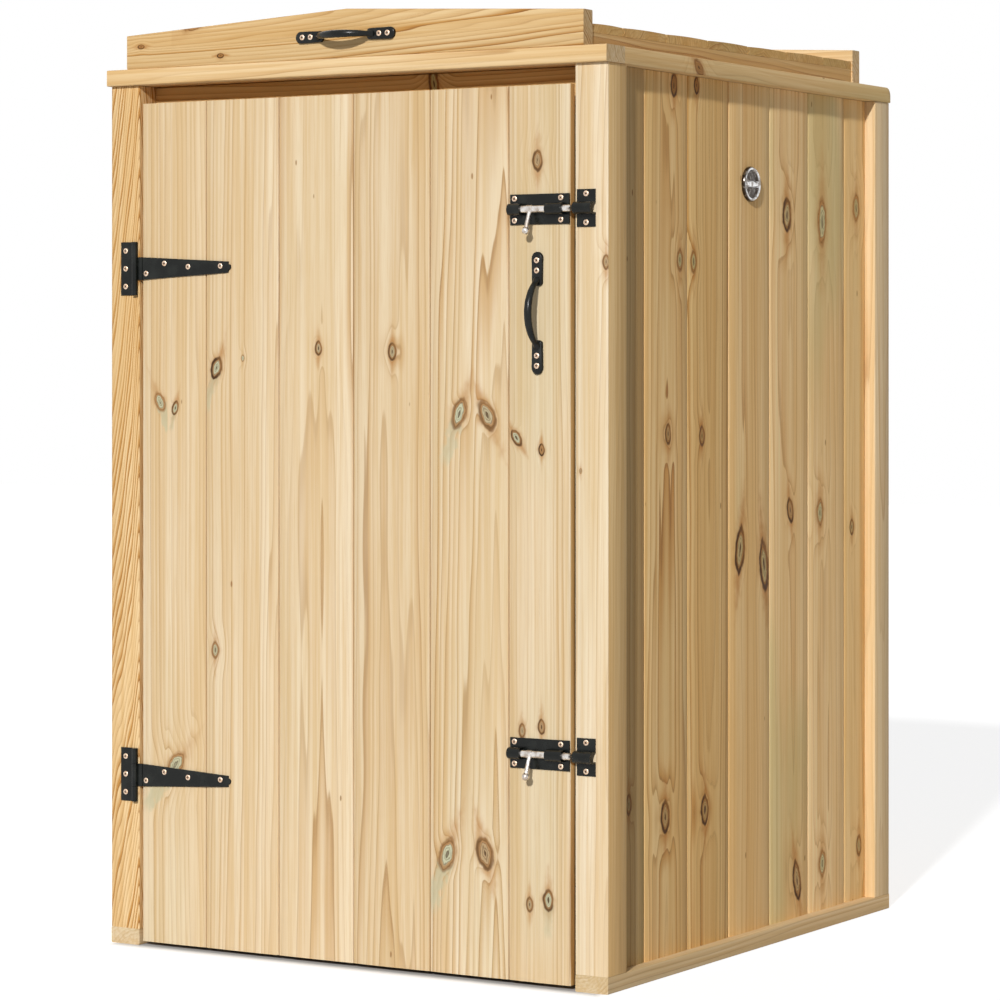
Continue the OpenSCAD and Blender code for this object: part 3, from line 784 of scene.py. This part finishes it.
def add_screw(mesh, centre, outward, size=7.4 * mm):
    """Adds the head of a screw that stands on centre: a low dome with a cross sunk in it."""
    out = Vector(outward)
    aside = out.orthogonal().normalized()
    up = out.cross(aside)
    radius = size / 2
    turn = chance.uniform(0, math.pi)
    spokes = 20

    def at(across, above, height):
        return Vector(centre) + aside * across + up * above + out * height

    def ring(r, height):
        angles = [2 * math.pi * i / spokes for i in range(spokes)]
        return [mesh.verts.new(at(r * math.cos(a), r * math.sin(a), height)) for a in angles]

    arm, half = radius * 0.56, radius * 0.17
    cross = [(arm, -half), (arm, half), (half, half), (half, arm), (-half, arm), (-half, half),
             (-arm, half), (-arm, -half), (-half, -half), (-half, -arm), (half, -arm), (half, -half)]
    turned = [(x * math.cos(turn) - y * math.sin(turn), x * math.sin(turn) + y * math.cos(turn))
              for x, y in cross]
    rings = [ring(radius, 0), ring(radius, 0.35 * mm), ring(radius * 0.8, 0.8 * mm)]
    lip = [mesh.verts.new(at(x, y, 0.85 * mm)) for x, y in turned]
    sunk = [mesh.verts.new(at(x * 0.8, y * 0.8, 0.15 * mm)) for x, y in turned]
    made = []
    for lower, upper in ((rings[0], rings[1]), (rings[1], rings[2]), (lip, sunk)):
        for i in range(len(lower)):
            j = (i + 1) % len(lower)
            face = mesh.faces.new([lower[i], lower[j], upper[j], upper[i]])
            # The faces of the cross recess take the second finish, which paints shade in the recess.
            face.material_index = 1 if lower is lip else 0
            face.smooth = lower is not lip
            made.append(face)
    bottom = mesh.faces.new(sunk)
    bottom.material_index = 1
    made += [bottom, mesh.faces.new(rings[0])]
    edges = [mesh.edges.get((loop[i], loop[i - 1])) for loop in (rings[2], lip) for i in range(len(loop))]
    filled = bmesh.ops.triangle_fill(mesh, use_beauty=True, use_dissolve=False, edges=edges)["geom"]
    made += [item for item in filled if isinstance(item, bmesh.types.BMFace)]
    bmesh.ops.recalc_face_normals(mesh, faces=made)


def screws(name, body, centres, outward):
    """One piece of all the screw heads of a plate."""
    mesh = bmesh.new()
    for centre in centres:
        add_screw(mesh, centre, outward)
    data = bpy.data.meshes.new(name)
    mesh.to_mesh(data)
    mesh.free()
    for look in (zinc_look, recess_shade_look):
        data.materials.append(look)
    data.set_sharp_from_angle(angle=math.radians(40))
    piece = bpy.data.objects.new(name, data)
    bpy.context.scene.collection.objects.link(piece)
    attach(piece, body)


def finish_node(name, look):
    """Gives a CAD node its finish."""
    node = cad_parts[name]
    node.data.materials.clear()
    node.data.materials.append(look)


forward = (0, -1, 0)
backward = (0, 1, 0)
hinge_plate = 2 * mm
flange_screws = (24.5, 0, -24.5)
flange_inset = 8 * mm
pin_inset = 4 * mm
strap_screws = ((17.8, -7), (49, 6.4), (89, 1.4), (143, 1.6))
for level in ("upper", "lower"):
    flange, strap = level + "_hinge_flange", level + "_hinge_strap"
    finish_node(flange, black_look)
    finish_node(strap, black_look)
    low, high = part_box(flange)
    middle = (low.z + high.z) / 2
    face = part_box("left_front_post")[0].y - hinge_plate
    holes = [(low.x + flange_inset, face, middle + drop * mm) for drop in flange_screws]
    screws(level + "_flange_screws", "carcass", holes, forward)
    pin = high.x - pin_inset
    holes = [(pin + along * mm, face, middle + up * mm) for along, up in strap_screws]
    screws(level + "_strap_screws", "door", holes, forward)
for name in ("lid_hinge_lower_leaves", "lid_hinge_upper_leaves"):
    finish_node(name, black_look)
low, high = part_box("lid_hinge_lower_leaves")
leaf_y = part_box("left_rear_post")[1].y + hinge_plate
leaf_width = 65 * mm
leaf_middle = high.x - leaf_width / 2
lower_row = low.z + 10 * mm
upper_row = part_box("lid_hinge_upper_leaves")[1].z - 7 * mm
for name, body, height in (("lid_hinge_lower_screws", "carcass", lower_row),
                           ("lid_hinge_upper_screws", "lid", upper_row)):
    holes = [(side * leaf_middle + aside * mm, leaf_y, height)
             for side in (-1, 1) for aside in (-23, 0, 23)]
    screws(name, body, holes, backward)

# ---- Bolts and keeps ----
# Barrel bolts on the door and open keeps on the post, pressed from black plate. The bars and their
# knobs are bright plated and slide in the barrels.


def bright_plate():
    made, start = new_material("bright_plate")
    place = start.node("TexCoord", None, None, "Object")
    smear = place.noise((140, 140, 140), 3.0)
    plate = start.node("RGB")
    plate.socket.default_value = colour(0.72, 0.69, 0.66)
    plate = plate.over(colour(0.40, 0.33, 0.27), smear.step(0.42, 0.62) * 0.8)
    surface(start, Base_Color=plate, Metallic=1.0, Roughness=smear * 0.35 + 0.1)
    return made


bright_look = bright_plate()
bolt_plate = 1.5 * mm
for level in ("upper", "lower"):
    barrel, keep = level + "_bolt_barrel", level + "_bolt_keep"
    finish_node(barrel, black_look)
    finish_node(keep, black_look)
    finish_node(level + "_bolt_bar", bright_look)
    low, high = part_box(barrel)
    middle = (low.z + high.z) / 2
    plate_y = high.y - bolt_plate
    holes = [(low.x + along * mm, plate_y, middle + up * mm)
             for along in (6.5, 75.4) for up in (-14, 14)]
    screws(level + "_barrel_screws", "door", holes, forward)
    low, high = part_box(keep)
    holes = [((low.x + high.x) / 2, plate_y, middle + up * mm) for up in (-18.3, 18.3)]
    screws(level + "_keep_screws", "carcass", holes, forward)

# ---- Handles ----
# Cast bow handles, black like the hinges: a grip that is thickest in the middle and springs from
# two flat feet, each with two screws.


def add_loft(mesh, loops):
    """Skins between rings of points and caps both ends."""
    rings = [[mesh.verts.new(point) for point in loop] for loop in loops]
    made = []
    for lower, upper in zip(rings, rings[1:]):
        for i in range(len(lower)):
            j = (i + 1) % len(lower)
            face = mesh.faces.new([lower[i], lower[j], upper[j], upper[i]])
            face.smooth = True
            made.append(face)
    made += [mesh.faces.new(rings[0]), mesh.faces.new(rings[-1])]
    bmesh.ops.recalc_face_normals(mesh, faces=made)


def bow_handle(node, body, place, half_length):
    """A bow handle; place puts a point along, out from and across the handle into the frame."""
    mesh = bmesh.new()
    foot_half, inner_half = 8 * mm, 7.4 * mm
    end = half_length - foot_half
    start = half_length - 40 * mm
    for side in (-1, 1):
        outline = []
        for i in range(13):
            angle = math.pi * (i / 12 - 0.5)
            outline.append((end + foot_half * math.cos(angle), foot_half * math.sin(angle)))
        for i in range(13):
            angle = math.pi * (i / 12 + 0.5)
            outline.append((start + 4 * mm * math.cos(angle), inner_half * math.sin(angle)))
        centre = (start + end) / 2
        layers = ((1.0, 0), (1.0, 2.6 * mm), (0.97, 3.5 * mm), (0.90, 4.0 * mm))
        loops = [[place(side * (centre + (a - centre) * (1 - (1 - k) * 0.45)), out, c * k)
                  for a, c in outline] for k, out in layers]
        add_loft(mesh, loops)
    chord, reach = half_length - 36 * mm, 26 * mm
    sag = reach - 2.6 * mm
    bow = (chord * chord + sag * sag) / (2 * sag)
    spread = math.asin(chord / bow)
    steps = 40
    loops = []
    for i in range(steps + 1):
        turn = spread * (2 * i / steps - 1)
        along, out = bow * math.sin(turn), reach - bow * (1 - math.cos(turn))
        away = abs(2 * i / steps - 1)
        swell = 1 - 0.42 * away ** 2 + 0.5 * max(0, away - 0.86) / 0.14
        wide, deep = 5.2 * mm * swell, 4.4 * mm * min(swell, 1.0)
        ring = []
        for j in range(20):
            angle = 2 * math.pi * j / 20
            rise = deep * math.cos(angle)
            ring.append(place(along + rise * math.sin(turn), out + rise * math.cos(turn),
                              wide * math.sin(angle)))
        loops.append(ring)
    add_loft(mesh, loops)
    new_piece(node + "_bow", mesh, body, black_look, [node])
    foot_top = layers[-1][1]
    holes = [place(side * (half_length - inset), foot_top, 0)
             for side in (-1, 1) for inset in (11 * mm, 24 * mm)]
    screws(node + "_screws", body, holes, forward)


low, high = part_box("door_handle")
door_grip = (low + high) / 2
bow_handle("door_handle", "door", lambda a, o, c: (door_grip.x + c, high.y - o, door_grip.z + a),
           (high.z - low.z) / 2)
lid_low, lid_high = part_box("lid_handle")
lid_grip = (lid_low + lid_high) / 2
bow_handle("lid_handle", "lid", lambda a, o, c: (lid_grip.x + a, lid_high.y - o, lid_grip.z + c),
           (lid_high.x - lid_low.x) / 2)

# ---- Disc ----
# A bright plated disc let into the right wall: a rolled rim round a dished middle, with a bar across
# it. Painted shade darkens the dished middle and the outer slope of the rim.
low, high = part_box("side_disc")
disc_centre = (low + high) / 2
disc_radius = (high.z - low.z) / 2
mesh = bmesh.new()
turns = 64
profile = ((0.999, 0), (1.0, 1.8), (0.985, 3.6), (0.95, 5.0), (0.90, 5.9), (0.85, 5.6), (0.80, 4.4),
           (0.77, 2.8), (0.70, 2.2), (0.50, 3.0), (0.30, 3.6), (0.10, 3.8))
loops = []
for share, rise in profile:
    away = disc_radius * share
    loops.append([(low.x + rise * mm, disc_centre.y + away * math.cos(2 * math.pi * i / turns),
                   disc_centre.z + away * math.sin(2 * math.pi * i / turns)) for i in range(turns)])
add_loft(mesh, loops)
bar_half = 4.2 * mm
loops = []
for i in range(13):
    along = disc_radius * 0.8 * (i / 6 - 1)
    thin = 1 - 0.25 * (i / 6 - 1) ** 2
    ring = []
    for j in range(16):
        angle = math.pi * j / 15
        ring.append((low.x + 2.0 * mm + 3.4 * mm * math.sin(angle), disc_centre.y + along,
                     disc_centre.z + bar_half * thin * math.cos(angle)))
    loops.append(ring)
add_loft(mesh, loops)


def worn_chrome():
    """Bright on its rim and bar, with painted shade in the dished middle and on the outer slope of the rim.
    """
    made, start = new_material("worn_chrome")
    place = start.node("TexCoord", None, None, "Object")
    _, across, up = (place.node("VectorMath", {"operation": "SUBTRACT"},
                                {0: place, 1: tuple(disc_centre)})).xyz()
    away = (across * across + up * up).root() / disc_radius
    smear = place.noise((160, 160, 160), 3.0)
    # Masks of painted shade: the dished middle beside the bar, and the outer slope of the rim.
    hollow_shade = away.step(0.84, 0.78) * abs(up).step(bar_half * 0.8, bar_half * 1.1)
    groove = away.step(0.9, 0.97)
    dark = (hollow_shade + groove).below(1.0)
    plate = start.node("RGB")
    plate.socket.default_value = colour(0.80, 0.80, 0.80)
    plate = plate.over(colour(0.34, 0.31, 0.28), smear.step(0.45, 0.6))
    # Painted shade: a near black laid over the dished middle and the rim's outer slope.
    plate = plate.over(colour(0.055, 0.042, 0.032), dark * (smear.step(0.62, 0.5) * 0.5 + 0.5))
    surface(start, Base_Color=plate, Metallic=1.0, Roughness=smear * 0.2 + 0.12)
    return made


new_piece("side_disc_plate", mesh, "carcass", worn_chrome(), ["side_disc"])

# ---- Floor and light ----
# A pale floor and an even sky, with one lamp ahead and to the right of the front, and a weak and
# very wide one behind and to the left.


def seen_straight(start):
    """1 on the rays that come from the camera, a reflection or a clear material, else 0."""
    path = start.node("LightPath").socket.node.outputs
    camera_ray, glossy_ray, clear_ray = [
        Wire(start.tree, path[name]) for name in ("Is Camera Ray", "Is Glossy Ray", "Is Transmission Ray")]
    return camera_ray.above(glossy_ray).above(clear_ray)


def studio_floor():
    made, start = new_material("studio_floor")
    straight = seen_straight(start)
    paint = start.node("BsdfDiffuse", None, {"Color": colour(0.6, 0.6, 0.6)})
    across, ahead, _ = start.node("NewGeometry", None, None, "Position").xyz()
    reach_x, reach_y = cad_box[1].x, cad_box[1].y
    clear = abs(across).step(reach_x * 0.93, reach_x).above(abs(ahead).step(reach_y * 0.9, reach_y * 0.98))
    glow = start.node("Emission", None, {"Color": straight * clear * 0.68})
    both = start.node("AddShader", None, {0: paint, 1: glow})
    start.node("OutputMaterial", None, {"Surface": both})
    return made


mesh = bmesh.new()
floor_half = 14.0
bmesh.ops.create_grid(mesh, x_segments=1, y_segments=1, size=floor_half)
data = bpy.data.meshes.new("floor")
mesh.to_mesh(data)
mesh.free()
data.materials.append(studio_floor())
floor = bpy.data.objects.new("floor", data)
bpy.context.scene.collection.objects.link(floor)

sky_level = 0.19
sky = bpy.data.worlds.new("sky")
bpy.context.scene.world = sky
sky.use_nodes = True
sky.node_tree.nodes.clear()
start = Wire(sky.node_tree)
level = start.node("MapRange", None, {"Value": seen_straight(start), "To Min": sky_level, "To Max": 1.0})
light = start.node("Background", None, {"Color": colour(1, 1, 1), "Strength": level})
start.node("OutputWorld", None, {"Surface": light})


def add_lamp(name, strength, spread, heading):
    data = bpy.data.lights.new(name, "SUN")
    data.energy = strength
    data.angle = math.radians(spread)
    lamp = bpy.data.objects.new(name, data)
    lamp.rotation_euler = Vector(heading).to_track_quat("-Z", "Y").to_euler()
    bpy.context.scene.collection.objects.link(lamp)


add_lamp("key", 2.7, 3, (-0.58, 2.07, -1.0))
add_lamp("back_fill", 1.1, 40, (1.0, -0.9, -0.75))
bpy.context.scene.view_settings.view_transform = "Standard"
